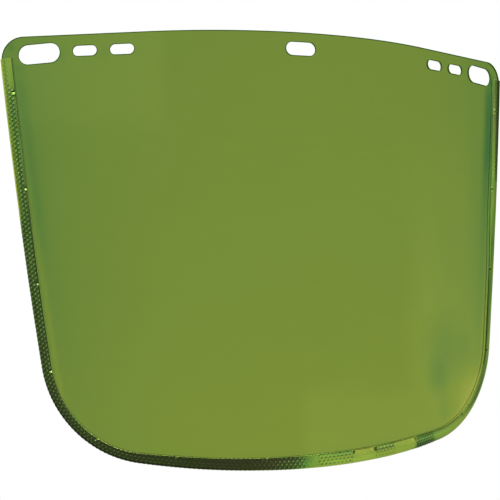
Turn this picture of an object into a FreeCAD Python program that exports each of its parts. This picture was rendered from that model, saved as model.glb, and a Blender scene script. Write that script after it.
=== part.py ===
import FreeCAD, Part
import math
import os
import Sketcher
from FreeCAD import Vector as V

# Replacement window for a face shield: a thin tinted sheet, bowed about a
# vertical line, with a row of hanging slots along its top edge, and a folded
# aluminium channel crimped round its two sides and its bottom edge.
#
# Frame, in millimetres: +X towards the wearer's left, +Z up, and the bulging
# front side faces -Y. The origin is the middle of the sheet's top edge, on the
# middle of its thickness.
#
# Flat pattern: (u, v), where u is measured along the bent sheet from the
# centre line and v is the height, so v is 0 along the top edge. The middle of
# the sheet is a cylinder and the two wings are flat and tangent to it.

doc = FreeCAD.newDocument("face_shield_window")

# ---------------------------------------------------------------- dimensions
sheet = doc.addObject("Spreadsheet::Sheet", "dims")
DIMS = [
    ("overall_height", 203.2, "top edge of the sheet to the bottom of the channel"),
    ("overall_width", 285.75, "flat width at the top, over the channel, before the corners are rounded"),
    ("sheet_thickness", 1.0, "tinted sheet"),
    ("bend_radius", 178.0, "middle surface of the bowed centre"),
    ("wing_angle", 23.59, "degrees turned from the centre line to each flat wing"),
    ("side_taper", 7.58, "degrees each side leans in towards the bottom"),
    ("side_bow", 2.02, "outward bow of each side between its corners"),
    ("side_chord", 211.8, "length over which side_bow is measured"),
    ("top_corner_radius", 10.3, "rounding of the two upper corners"),
    ("bottom_corner_radius", 52.6, "rounding of the two lower corners, over the channel"),
    ("bottom_edge_radius", 581.4, "radius of the long lower edge, over the channel"),
    ("slot_row_drop", 7.7, "top edge down to the middle of the row of slots"),
    ("centre_slot_length", 14.7, "end to end"),
    ("centre_slot_width", 6.3, "across"),
    ("small_slot_length", 11.3, "end to end"),
    ("small_slot_width", 4.8, "across"),
    ("inner_slot_place", 84.0, "along the sheet from the centre line"),
    ("outer_slot_place", 101.5, "along the sheet from the centre line"),
    ("large_slot_length", 19.6, "end to end"),
    ("large_slot_width", 9.1, "across"),
    ("large_slot_place", 123.1, "along the sheet from the centre line"),
    ("large_slot_drop", 8.3, "top edge down to the middle of the large slots"),
    ("large_slot_tilt", 3.0, "degrees its outer end leans down"),
    ("metal_thickness", 0.5, "aluminium strip"),
    ("fit_gap", 0.05, "between sheet and channel on each side"),
    ("flange_depth", 6.3, "channel, from its outer edge to its lip"),
    ("fold_radius", 0.9, "rounding of the folded outer edge"),
    ("channel_drop", 10.0, "top edge down to the channel's cut ends, at its outer edge"),
]
for i, (name, value, note) in enumerate(DIMS, start=1):
    sheet.set("A%d" % i, name)
    sheet.set("B%d" % i, str(value))
    sheet.set("C%d" % i, note)
    sheet.setAlias("B%d" % i, name)
doc.recompute()
D = {name: float(sheet.get(name)) for name, _, _ in DIMS}

TOP = 0.0
LOW = -D["overall_height"]
R = D["bend_radius"]
ALPHA = math.radians(D["wing_angle"])
SEAM = R * ALPHA                       # flat distance from centre line to wing
X0 = R * math.sin(ALPHA) - SEAM * math.cos(ALPHA)
Y0 = R * (1.0 - math.cos(ALPHA)) - SEAM * math.sin(ALPHA)


def place(u, v, off=0.0):
    """Flat-pattern point, lifted off towards the front, on the bent sheet."""
    a = abs(u)
    s = 1.0 if u >= 0 else -1.0
    if a <= SEAM:
        th = a / R
        x = (R + off) * math.sin(th)
        y = R - (R + off) * math.cos(th)
    else:
        x = X0 + a * math.cos(ALPHA) + off * math.sin(ALPHA)
        y = Y0 + a * math.sin(ALPHA) - off * math.cos(ALPHA)
    return V(s * x, y, v)


# ------------------------------------------------------------ flat outline
# Right-hand half, made of tangent arcs. inset moves the side and bottom
# inwards; the top edge stays where it is.
taper = math.radians(D["side_taper"])
down = (-math.sin(taper), -math.cos(taper))
outward = (math.cos(taper), -math.sin(taper))
side_radius = D["side_chord"] ** 2 / (8.0 * D["side_bow"])
corner = (D["overall_width"] / 2.0, TOP)
chord_start = D["top_corner_radius"] * math.tan((math.pi / 2 - taper) / 2)
mid = (corner[0] + down[0] * (chord_start + D["side_chord"] / 2) + outward[0] * D["side_bow"],
       corner[1] + down[1] * (chord_start + D["side_chord"] / 2) + outward[1] * D["side_bow"])
SIDE_C = (mid[0] - outward[0] * side_radius, mid[1] - outward[1] * side_radius)
BOTTOM_C = (0.0, LOW + D["bottom_edge_radius"])


def circle_meet(c0, r0, c1, r1):
    """The right-hand, lower point where two circles meet."""
    dx, dy = c1[0] - c0[0], c1[1] - c0[1]
    d = math.hypot(dx, dy)
    a = (r0 * r0 - r1 * r1 + d * d) / (2 * d)
    q = math.sqrt(max(r0 * r0 - a * a, 0.0))
    px, py = c0[0] + a * dx / d, c0[1] + a * dy / d
    both = [(px + q * dy / d, py - q * dx / d), (px - q * dy / d, py + q * dx / d)]
    return min(both, key=lambda p: p[1] - p[0])


def on_circle(c, r, ang):
    return (c[0] + r * math.cos(ang), c[1] + r * math.sin(ang))


def toward(c, p, r):
    d = math.hypot(p[0] - c[0], p[1] - c[1])
    return (c[0] + (p[0] - c[0]) * r / d, c[1] + (p[1] - c[1]) * r / d)


def angle(c, p):
    return math.atan2(p[1] - c[1], p[0] - c[0])


# centre of the lower corner's rounding is the same for every inset
LOW_C = circle_meet(SIDE_C, side_radius - D["bottom_corner_radius"],
                    BOTTOM_C, D["bottom_edge_radius"] - D["bottom_corner_radius"])


def lower_corner(inset):
    rs = side_radius - inset
    rb = D["bottom_edge_radius"] - inset
    return toward(SIDE_C, LOW_C, rs), toward(BOTTOM_C, LOW_C, rb)


def bottom_v(u, inset):
    rb = D["bottom_edge_radius"] - inset
    return BOTTOM_C[1] - math.sqrt(rb * rb - u * u)


def side_at(height, inset):
    """Point of the side arc on the square cut through the outer edge at height."""
    ang = math.asin((height - SIDE_C[1]) / side_radius)
    return on_circle(SIDE_C, side_radius - inset, ang)


def arc_edge(c, r, p, q, sign, off):
    """Arc on a flat wing from p to q about c, drawn through its middle."""
    a0, a1 = angle(c, p), angle(c, q)
    m = on_circle(c, r, (a0 + a1) / 2)
    return Part.Arc(place(sign * p[0], p[1], off), place(sign * m[0], m[1], off),
                    place(sign * q[0], q[1], off)).toShape()


def line_edge(p, q, sign, off):
    return Part.makeLine(place(sign * p[0], p[1], off), place(sign * q[0], q[1], off))


def wing_normal(sign):
    return V(sign * math.sin(ALPHA), -math.cos(ALPHA), 0)


def prism(edges, sign, half):
    wire = Part.Wire(Part.__sortEdges__(edges))
    return Part.Face(wire).extrude(wing_normal(sign) * (2 * half))


def sheet_wing(sign, inset, half):
    """Flat wing of the sheet: top edge, rounded corner, side and lower corner."""
    rs = side_radius - inset
    rt = D["top_corner_radius"]
    cv = TOP - rt
    cu = SIDE_C[0] + math.sqrt((rs - rt) ** 2 - (cv - SIDE_C[1]) ** 2)
    top_c = (cu, cv)
    t1 = (cu, TOP)
    t2 = toward(SIDE_C, top_c, rs)
    t3, t4 = lower_corner(inset)
    low = (SEAM, bottom_v(SEAM, inset))
    o = -half
    edges = [
        line_edge((SEAM, TOP), t1, sign, o),
        arc_edge(top_c, rt, t1, t2, sign, o),
        arc_edge(SIDE_C, rs, t2, t3, sign, o),
        arc_edge(LOW_C, D["bottom_corner_radius"] - inset, t3, t4, sign, o),
        arc_edge(BOTTOM_C, D["bottom_edge_radius"] - inset, t4, low, sign, o),
        line_edge(low, (SEAM, TOP), sign, o),
    ]
    return prism(edges, sign, half)


def band_wing(sign, outer, inner, half, height):
    """Band along the side and lower corner, between two insets."""
    a0, a1 = side_at(height, outer), side_at(height, inner)
    o3, o4 = lower_corner(outer)
    i3, i4 = lower_corner(inner)
    ob = (SEAM, bottom_v(SEAM, outer))
    ib = (SEAM, bottom_v(SEAM, inner))
    o = -half
    edges = [
        arc_edge(SIDE_C, side_radius - outer, a0, o3, sign, o),
        arc_edge(LOW_C, D["bottom_corner_radius"] - outer, o3, o4, sign, o),
        arc_edge(BOTTOM_C, D["bottom_edge_radius"] - outer, o4, ob, sign, o),
        line_edge(ob, ib, sign, o),
        arc_edge(BOTTOM_C, D["bottom_edge_radius"] - inner, ib, i4, sign, o),
        arc_edge(LOW_C, D["bottom_corner_radius"] - inner, i4, i3, sign, o),
        arc_edge(SIDE_C, side_radius - inner, i3, a1, sign, o),
        line_edge(a1, a0, sign, o),
    ]
    return prism(edges, sign, half)


def sector(half, low, high):
    """The bowed centre as a slice of tube between two heights."""
    def at(r, th):
        return V(r * math.sin(th), R - r * math.cos(th), low)
    ro, ri = R + half, R - half
    edges = [
        Part.Arc(at(ro, -ALPHA), at(ro, 0), at(ro, ALPHA)).toShape(),
        Part.makeLine(at(ro, ALPHA), at(ri, ALPHA)),
        Part.Arc(at(ri, ALPHA), at(ri, 0), at(ri, -ALPHA)).toShape(),
        Part.makeLine(at(ri, -ALPHA), at(ro, -ALPHA)),
    ]
    return Part.Face(Part.Wire(edges)).extrude(V(0, 0, high - low))


def lower_cut(inset, half):
    """Solid below the long lower edge, cut square to the bent sheet."""
    n = 24
    steps = [float(i) for i in range(-n - 3, n + 4)]
    rows = []
    for r in (R + half + 3.0, R - half - 3.0):
        pts = []
        for i in steps:
            th = ALPHA * i / n
            pts.append(V(r * math.sin(th), R - r * math.cos(th), bottom_v(R * abs(th), inset)))
        curve = Part.BSplineCurve()
        curve.interpolate(Points=pts, Parameters=steps)
        rows.append(curve.toShape())
    face = Part.makeRuledSurface(rows[0], rows[1])
    return face.extrude(V(0, 0, -60.0))


def join(pieces):
    body = pieces[0].fuse(pieces[1:])
    body = body.removeSplitter()
    if body.ShapeType != "Solid":
        body = body.Solids[0]
    return body


# --------------------------------------------------------------- the sheet
half = D["sheet_thickness"] / 2.0
edge_inset = D["metal_thickness"] + D["fit_gap"]
centre = sector(half, LOW - 5.0, TOP).cut(lower_cut(edge_inset, half))
blank_shape = join([centre, sheet_wing(1, edge_inset, half), sheet_wing(-1, edge_inset, half)])

blank = doc.addObject("Part::Feature", "bent_blank")
blank.Label = "bent_blank"
blank.Shape = blank_shape
blank.Placement = FreeCAD.Placement()
doc.recompute()

window = doc.addObject("PartDesign::Body", "window")
window.Label = "window"
window.BaseFeature = blank
doc.recompute()


def origin_plane(body, role):
    return [f for f in body.Origin.OriginFeatures if f.Role == role][0]


def slot_sketch(name, length, width, u_place, drop, on_wing, tilt=None):
    """A round-ended slot, drawn on the sheet's own tangent plane."""
    sk = window.newObject("Sketcher::SketchObject", name)
    sk.AttachmentSupport = [(origin_plane(window, "XZ_Plane"), "")]
    sk.MapMode = "FlatFace"
    if on_wing:
        sk.AttachmentOffset = FreeCAD.Placement(V(0, 0, 0), FreeCAD.Rotation(V(0, 1, 0), 10))
        sk.setExpression("AttachmentOffset.Rotation.Angle", "dims.wing_angle")
        arc = "dims.bend_radius * dims.wing_angle * pi / 180"
        sk.setExpression("AttachmentOffset.Base.x",
                         "dims.bend_radius * sin(dims.wing_angle) - %s * cos(dims.wing_angle)" % arc)
        sk.setExpression("AttachmentOffset.Base.z",
                         "-(dims.bend_radius * (1 - cos(dims.wing_angle)) - %s * sin(dims.wing_angle))" % arc)
    L, W = D[length], D[width]
    u = D[u_place] if u_place else 0.0
    v = -D[drop]
    r = W / 2.0
    a = L / 2.0 - r
    lean = math.radians(D[tilt]) if tilt else 0.0
    ax, ay = a * math.cos(lean), -a * math.sin(lean)      # middle to outer end
    nx, ny = r * math.sin(lean), r * math.cos(lean)       # middle line to upper side
    g_top = sk.addGeometry(Part.LineSegment(V(u - ax + nx, v - ay + ny, 0),
                                            V(u + ax + nx, v + ay + ny, 0)), False)
    g_bot = sk.addGeometry(Part.LineSegment(V(u - ax - nx, v - ay - ny, 0),
                                            V(u + ax - nx, v + ay - ny, 0)), False)
    g_r = sk.addGeometry(Part.ArcOfCircle(Part.Circle(V(u + ax, v + ay, 0), V(0, 0, 1), r),
                                          -math.pi / 2 - lean, math.pi / 2 - lean), False)
    g_l = sk.addGeometry(Part.ArcOfCircle(Part.Circle(V(u - ax, v - ay, 0), V(0, 0, 1), r),
                                          math.pi / 2 - lean, 3 * math.pi / 2 - lean), False)
    C = Sketcher.Constraint
    sk.addConstraint([
        C("Tangent", g_top, 2, g_r, 2), C("Tangent", g_r, 1, g_bot, 2),
        C("Tangent", g_bot, 1, g_l, 2), C("Tangent", g_l, 1, g_top, 1),
        C("Equal", g_r, g_l),
    ])
    i = sk.addConstraint(C("Radius", g_r, r))
    sk.setExpression("Constraints[%d]" % i, "dims.%s / 2" % width)
    reach = "(dims.%s - dims.%s) / 2" % (length, width)
    across = "%s * cos(dims.%s)" % (reach, tilt) if tilt else reach
    fall = " + %s * sin(dims.%s)" % (reach, tilt) if tilt else ""
    i = sk.addConstraint(C("DistanceX", g_l, 3, g_r, 3, 2 * ax))
    sk.setExpression("Constraints[%d]" % i, "2 * " + across)
    if tilt:
        i = sk.addConstraint(C("DistanceY", g_r, 3, g_l, 3, -2 * ay))
        sk.setExpression("Constraints[%d]" % i, "2 * %s * sin(dims.%s)" % (reach, tilt))
    else:
        sk.addConstraint(C("Horizontal", g_top))
    i = sk.addConstraint(C("DistanceY", g_r, 3, -1, 1, -v - ay))
    sk.setExpression("Constraints[%d]" % i, "dims.%s" % drop + fall)
    i = sk.addConstraint(C("DistanceX", -1, 1, g_r, 3, u + ax))
    where = "dims.%s + " % u_place if u_place else ""
    sk.setExpression("Constraints[%d]" % i, where + across)
    return sk


def slot(name, sk):
    """Cuts the slot right through the sheet and checks that material went."""
    doc.recompute()
    before = window.Tip.Shape.Volume
    pocket = window.newObject("PartDesign::Pocket", name)
    pocket.Profile = sk
    pocket.Type = "Length"
    pocket.Length = 12.0
    pocket.Midplane = True
    doc.recompute()
    if not pocket.Shape.isValid() or pocket.Shape.Volume > before - 5.0:
        raise RuntimeError(name + " cuts nothing")
    return pocket


slot("centre_slot", slot_sketch("centre_slot_sketch", "centre_slot_length", "centre_slot_width",
                                None, "slot_row_drop", False))
wing_slots = [
    slot("inner_slot", slot_sketch("inner_slot_sketch", "small_slot_length", "small_slot_width",
                                   "inner_slot_place", "slot_row_drop", True)),
    slot("outer_slot", slot_sketch("outer_slot_sketch", "small_slot_length", "small_slot_width",
                                   "outer_slot_place", "slot_row_drop", True)),
    slot("large_slot", slot_sketch("large_slot_sketch", "large_slot_length", "large_slot_width",
                                   "large_slot_place", "large_slot_drop", True, "large_slot_tilt")),
]
before = window.Tip.Shape.Volume
mirror = window.newObject("PartDesign::Mirrored", "other_side_slots")
mirror.Originals = wing_slots
mirror.MirrorPlane = (origin_plane(window, "YZ_Plane"), [""])
window.Tip = mirror
doc.recompute()
if mirror.Shape.Volume > before - 50.0:
    raise RuntimeError("the mirrored slots cut nothing")
window.Placement = FreeCAD.Placement()

# ------------------------------------------------------------- the channel
wide = half + D["fit_gap"] + D["metal_thickness"]
depth = D["flange_depth"]
middle = sector(wide, LOW - 5.0, LOW + 25.0).cut(lower_cut(0.0, wide)).common(
    lower_cut(depth, wide))
outer_shape = join([middle, band_wing(1, 0.0, depth, wide, -D["channel_drop"]),
                    band_wing(-1, 0.0, depth, wide, -D["channel_drop"])])
strip = doc.addObject("Part::Feature", "channel_envelope")
strip.Label = "channel_envelope"
strip.Shape = outer_shape
strip.Placement = FreeCAD.Placement()

gap = half + D["fit_gap"]
m = D["metal_thickness"]
middle = sector(gap, LOW - 5.0, LOW + 30.0).cut(lower_cut(m, gap)).common(
    lower_cut(depth + 3.0, gap))
inner_shape = join([middle, band_wing(1, m, depth + 3.0, gap, 4.0 - D["channel_drop"]),
                    band_wing(-1, m, depth + 3.0, gap, 4.0 - D["channel_drop"])])
hollow = doc.addObject("Part::Feature", "channel_hollow")
hollow.Label = "channel_hollow"
hollow.Shape = inner_shape
hollow.Placement = FreeCAD.Placement()
doc.recompute()


def flat(p):
    """Flat-pattern place and lift of a point in space."""
    a = abs(p.x)
    th = math.atan2(a, R - p.y)
    if th <= ALPHA:
        return R * th, p.z, math.hypot(a, R - p.y) - R
    dx, dy = a - X0, p.y - Y0
    return (dx * math.cos(ALPHA) + dy * math.sin(ALPHA), p.z,
            dx * math.sin(ALPHA) - dy * math.cos(ALPHA))


def inset_of(u, v):
    """How far a flat point lies inside the channel's outer edge."""
    p = (u, v)
    d_side = side_radius - math.hypot(u - SIDE_C[0], v - SIDE_C[1])
    d_low = D["bottom_edge_radius"] - math.hypot(u - BOTTOM_C[0], v - BOTTOM_C[1])
    a = angle(LOW_C, p)
    if angle(LOW_C, lower_corner(0.0)[1]) < a < angle(LOW_C, lower_corner(0.0)[0]):
        return D["bottom_corner_radius"] - math.hypot(u - LOW_C[0], v - LOW_C[1])
    return min(d_side, d_low)


fold_edges = []
for i, edge in enumerate(strip.Shape.Edges, start=1):
    a, b = edge.ParameterRange
    spots = [flat(edge.valueAt(a + (b - a) * t)) for t in (0.1, 0.5, 0.9)]
    if all(abs(inset_of(u, v)) < 0.05 and abs(abs(off) - wide) < 0.02 for u, v, off in spots):
        fold_edges.append((i, D["fold_radius"], D["fold_radius"]))
rounded = doc.addObject("Part::Fillet", "channel_rounded")
rounded.Base = strip
rounded.Edges = fold_edges
doc.recompute()

channel = doc.addObject("Part::Cut", "edge_channel")
channel.Label = "edge_channel"
channel.Base = rounded
channel.Tool = hollow
doc.recompute()
channel.Placement = FreeCAD.Placement()

# ---------------------------------------------------------------- checks
for obj in doc.Objects:
    bad = [word for word in obj.State if word in ("Invalid", "Error")]
    if bad:
        raise RuntimeError("%s is in state %s" % (obj.Name, bad))
PIECES = {"window": window, "edge_channel": channel}
for name, obj in PIECES.items():
    shape = obj.Shape
    if shape.isNull() or not shape.isValid() or len(shape.Solids) != 1:
        raise RuntimeError(name + " is not one valid solid")
if channel.Shape.Volume > rounded.Shape.Volume - 1000.0:
    raise RuntimeError("the channel is not hollow")
if channel.Shape.common(window.Shape).Volume > 1e-6:
    raise RuntimeError("the sheet and the channel overlap")

os.makedirs("parts", exist_ok=True)
for name, obj in PIECES.items():
    obj.Shape.exportStep("parts/%s.step" % name)
    box = obj.Shape.BoundBox
    print("%s: volume %.1f mm3, box %.2f x %.2f x %.2f mm" % (
        name, obj.Shape.Volume, box.XLength, box.YLength, box.ZLength))
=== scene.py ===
import math

import bpy
import numpy as np
from mathutils import Matrix, Vector
from mathutils.geometry import delaunay_2d_cdt


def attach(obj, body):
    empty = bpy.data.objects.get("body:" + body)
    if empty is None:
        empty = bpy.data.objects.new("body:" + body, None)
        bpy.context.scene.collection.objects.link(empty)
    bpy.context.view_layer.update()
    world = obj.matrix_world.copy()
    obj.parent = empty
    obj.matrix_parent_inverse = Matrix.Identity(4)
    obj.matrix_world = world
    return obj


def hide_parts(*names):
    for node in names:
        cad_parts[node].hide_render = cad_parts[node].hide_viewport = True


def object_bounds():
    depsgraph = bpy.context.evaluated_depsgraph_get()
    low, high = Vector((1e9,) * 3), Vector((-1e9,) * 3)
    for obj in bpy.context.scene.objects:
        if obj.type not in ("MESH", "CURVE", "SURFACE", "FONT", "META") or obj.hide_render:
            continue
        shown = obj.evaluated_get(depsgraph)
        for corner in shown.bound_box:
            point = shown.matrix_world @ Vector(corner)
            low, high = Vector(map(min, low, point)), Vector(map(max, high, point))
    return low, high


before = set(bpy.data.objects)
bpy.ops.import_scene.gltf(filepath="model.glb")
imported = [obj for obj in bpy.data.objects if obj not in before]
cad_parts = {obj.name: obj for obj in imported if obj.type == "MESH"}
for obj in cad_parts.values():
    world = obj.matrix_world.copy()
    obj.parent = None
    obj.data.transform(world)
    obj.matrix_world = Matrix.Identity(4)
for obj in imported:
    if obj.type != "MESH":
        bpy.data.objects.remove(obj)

CAD_BOX = [[float(c) for c in corner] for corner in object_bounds()]

# ---------------------------------------------------------------------------
# The blank, in millimetres: u runs round the bend from the centre line,
# v runs up from the top edge, off is the distance in front of mid-thickness.
# ---------------------------------------------------------------------------
LOW = -203.2
BEND = 178.0
WING = math.radians(23.59)
SEAM = BEND * WING
WING_X = BEND * math.sin(WING) - SEAM * math.cos(WING)
WING_Y = BEND * (1 - math.cos(WING)) - SEAM * math.sin(WING)
HALF_SHEET = 0.5
LOWER_R = 52.6
BOTTOM_R = 581.4
TOP_R = 10.3
SEAT = 0.55            # from the binding's outer face to the sheet's cut edge
BINDING_TOP = -10.0

TAPER = math.radians(7.58)
DOWN = (-math.sin(TAPER), -math.cos(TAPER))
OUTWARD = (math.cos(TAPER), -math.sin(TAPER))
CHORD, BOW = 211.8, 2.02
SIDE_R = CHORD ** 2 / (8 * BOW)
CHORD_START = TOP_R * math.tan((math.pi / 2 - TAPER) / 2)
MID = (142.875 + DOWN[0] * (CHORD_START + CHORD / 2) + OUTWARD[0] * BOW,
       DOWN[1] * (CHORD_START + CHORD / 2) + OUTWARD[1] * BOW)
SIDE_C = (MID[0] - OUTWARD[0] * SIDE_R, MID[1] - OUTWARD[1] * SIDE_R)
BOTTOM_C = (0.0, LOW + BOTTOM_R)


def circle_meet(a, ra, b, rb):
    dx, dy = b[0] - a[0], b[1] - a[1]
    d = math.hypot(dx, dy)
    k = (ra * ra - rb * rb + d * d) / (2 * d)
    q = math.sqrt(ra * ra - k * k)
    px, py = a[0] + k * dx / d, a[1] + k * dy / d
    both = [(px + q * dy / d, py - q * dx / d), (px - q * dy / d, py + q * dx / d)]
    return min(both, key=lambda t: t[1] - t[0])


LOWER_C = circle_meet(SIDE_C, SIDE_R - LOWER_R, BOTTOM_C, BOTTOM_R - LOWER_R)


def heading(c, p):
    return math.atan2(p[1] - c[1], p[0] - c[0])


A_TOP = math.asin((BINDING_TOP - SIDE_C[1]) / SIDE_R)
A_SIDE = heading(SIDE_C, LOWER_C)
A_LOW = heading(BOTTOM_C, LOWER_C)
L_BOTTOM = BOTTOM_R * (A_LOW + math.pi / 2)
L_LOWER = LOWER_R * (A_SIDE - A_LOW)
L_SIDE = SIDE_R * (A_TOP - A_SIDE)
HALF = L_BOTTOM + L_LOWER + L_SIDE


def place(u, v, off=0.0):
    """Flat position to the bent position, in millimetres."""
    u = np.asarray(u, float)
    v = np.asarray(v, float)
    a = np.abs(u)
    s = np.where(u >= 0, 1.0, -1.0)
    th = a / BEND
    on_arc = a <= SEAM
    x = np.where(on_arc, (BEND + off) * np.sin(th),
                 WING_X + a * math.cos(WING) + off * math.sin(WING))
    y = np.where(on_arc, BEND - (BEND + off) * np.cos(th),
                 WING_Y + a * math.sin(WING) - off * math.cos(WING))
    return np.stack([s * x, y, v + 0 * a], -1)


def facing(u):
    """The blank's own axes at u: across (along +u), up and out of the front."""
    u = np.asarray(u, float)
    th = np.clip(u / BEND, -WING, WING)
    across = np.stack([np.cos(th), np.sin(th), 0 * th], -1)
    out = np.stack([np.sin(th), -np.cos(th), 0 * th], -1)
    up = np.stack([0 * th, 0 * th, 1 + 0 * th], -1)
    return across, up, out


def rim(s):
    """Outer line of the binding. s is measured from the middle of the bottom
    edge, + towards the wearer's left. Gives u, v and the outward direction."""
    s = np.asarray(s, float)
    g = np.where(s < 0, -1.0, 1.0)
    t = np.abs(s)
    on_b = t <= L_BOTTOM
    on_c = (t > L_BOTTOM) & (t <= L_BOTTOM + L_LOWER)
    cu = np.where(on_b, BOTTOM_C[0], np.where(on_c, LOWER_C[0], SIDE_C[0]))
    cv = np.where(on_b, BOTTOM_C[1], np.where(on_c, LOWER_C[1], SIDE_C[1]))
    r = np.where(on_b, BOTTOM_R, np.where(on_c, LOWER_R, SIDE_R))
    ang = np.where(on_b, -math.pi / 2 + t / BOTTOM_R,
                   np.where(on_c, A_LOW + (t - L_BOTTOM) / LOWER_R,
                            A_SIDE + (t - L_BOTTOM - L_LOWER) / SIDE_R))
    nu, nv = np.cos(ang), np.sin(ang)
    return g * (cu + r * nu), cv + r * nv, g * nu, nv


def smooth(lo, hi, x):
    t = np.clip((np.asarray(x, float) - lo) / (hi - lo), 0, 1)
    return t * t * (3 - 2 * t)


def hump(x, centre, reach):
    t = np.clip(np.abs((np.asarray(x, float) - centre) / reach), 0, 1)
    return 0.5 + 0.5 * np.cos(math.pi * t)


def mesh_object(name, verts, faces, materials, face_mat=None):
    me = bpy.data.meshes.new(name)
    me.from_pydata([tuple(p) for p in verts], [], [tuple(int(i) for i in f) for f in faces])
    for m in materials:
        me.materials.append(m)
    if face_mat is not None:
        me.polygons.foreach_set("material_index", np.asarray(face_mat, np.int32))
    me.polygons.foreach_set("use_smooth", np.ones(len(me.polygons), bool))
    me.update()
    ob = bpy.data.objects.new(name, me)
    bpy.context.scene.collection.objects.link(ob)
    return ob


def add_attribute(ob, name, values):
    values = np.asarray(values, np.float32)
    if values.ndim == 1:
        a = ob.data.attributes.new(name, "FLOAT", "POINT")
        a.data.foreach_set("value", values)
    else:
        a = ob.data.attributes.new(name, "FLOAT_VECTOR", "POINT")
        a.data.foreach_set("vector", values.ravel())


# ---------------------------------------------------------------------------
# Node building
# ---------------------------------------------------------------------------
class Nodes:
    def __init__(self, tree):
        self.t = tree
        tree.nodes.clear()

    def new(self, kind, **props):
        n = self.t.nodes.new(kind)
        for k, v in props.items():
            setattr(n, k, v)
        return n

    def put(self, socket, value):
        if isinstance(value, bpy.types.NodeSocket):
            self.t.links.new(value, socket)
        elif value is not None:
            socket.default_value = value

    def math(self, op, a, b=None, c=None, clamp=False):
        n = self.new("ShaderNodeMath", operation=op, use_clamp=clamp)
        self.put(n.inputs[0], a)
        if b is not None:
            self.put(n.inputs[1], b)
        if c is not None:
            self.put(n.inputs[2], c)
        return n.outputs[0]

    def vmath(self, op, a, b=None, scale=None):
        n = self.new("ShaderNodeVectorMath", operation=op)
        self.put(n.inputs[0], a)
        if b is not None:
            self.put(n.inputs[1], b)
        if scale is not None:
            self.put(n.inputs[3], scale)
        return n.outputs[0]

    def attr(self, name, out="Fac"):
        n = self.new("ShaderNodeAttribute", attribute_name=name, attribute_type="GEOMETRY")
        return n.outputs[out]

    def step(self, value, lo, hi, to_lo=0.0, to_hi=1.0):
        n = self.new("ShaderNodeMapRange", interpolation_type="SMOOTHSTEP", clamp=True)
        self.put(n.inputs["Value"], value)
        n.inputs["From Min"].default_value = lo
        n.inputs["From Max"].default_value = hi
        n.inputs["To Min"].default_value = to_lo
        n.inputs["To Max"].default_value = to_hi
        return n.outputs["Result"]

    def noise(self, vector, scale, detail=2.0, rough=0.5, dims="3D"):
        n = self.new("ShaderNodeTexNoise", noise_dimensions=dims)
        self.put(n.inputs["Vector"], vector)
        n.inputs["Scale"].default_value = scale
        n.inputs["Detail"].default_value = detail
        n.inputs["Roughness"].default_value = rough
        return n.outputs["Fac"]

    def ramp(self, fac, stops, interpolation="LINEAR"):
        n = self.new("ShaderNodeValToRGB")
        n.color_ramp.interpolation = interpolation
        e = n.color_ramp.elements
        while len(e) > 1:
            e.remove(e[-1])
        e[0].position, e[0].color = stops[0]
        for p, c in stops[1:]:
            el = e.new(p)
            el.color = c
        self.put(n.inputs["Fac"], fac)
        return n.outputs["Color"]

    def mix(self, fac, a, b, blend="MIX"):
        n = self.new("ShaderNodeMix", data_type="RGBA", blend_type=blend)
        self.put(n.inputs[0], fac)
        self.put(n.inputs[6], a)
        self.put(n.inputs[7], b)
        return n.outputs[2]

    def mixf(self, fac, a, b):
        n = self.new("ShaderNodeMix", data_type="FLOAT")
        self.put(n.inputs[0], fac)
        self.put(n.inputs[2], a)
        self.put(n.inputs[3], b)
        return n.outputs[0]

    def bump(self, height, strength, distance, normal=None):
        n = self.new("ShaderNodeBump")
        n.inputs["Strength"].default_value = strength
        n.inputs["Distance"].default_value = distance
        self.put(n.inputs["Height"], height)
        if normal is not None:
            self.put(n.inputs["Normal"], normal)
        return n.outputs["Normal"]


def material(name):
    m = bpy.data.materials.new(name)
    m.use_nodes = True
    return m, Nodes(m.node_tree)


def lin(r, g, b):
    """sRGB 0..255 to linear."""
    def f(c):
        c /= 255.0
        return c / 12.92 if c <= 0.04045 else ((c + 0.055) / 1.055) ** 2.4
    return (f(r), f(g), f(b))


# ---------------------------------------------------------------------------
# Material: tinted plastic sheet. The tone attribute is the sheet's colour value at a point (0 is the plain
# sheet): painted reflection and shade over the sheet, with painted light beside the binding's lip; the cast
# sheet's slight unevenness is added here in the material.
# ---------------------------------------------------------------------------
TONE_LO, TONE_HI = -2.2, 1.8
SHEET_GAIN = (1.030, 1.024, 1.010)


def sheet_stops():
    # sheet colours from the darkest painted shade to the palest painted light, the plain tint at 0
    table = [(-2.2, (54, 101, 56)), (-1.75, (64, 108, 57)), (-1.0, (84, 122, 58)),
             (-0.5, (95, 129, 58)), (0.0, (103, 133, 58)), (0.5, (114, 139, 58)),
             (1.0, (125, 146, 55)), (1.35, (136, 151, 62)), (1.8, (146, 158, 68))]
    stops = []
    for t, c in table:
        l = lin(*c)
        s = [math.sqrt(max(0.0, l[i] * SHEET_GAIN[i])) for i in range(3)]
        stops.append(((t - TONE_LO) / (TONE_HI - TONE_LO), (s[0], s[1], s[2], 1.0)))
    return stops


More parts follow.
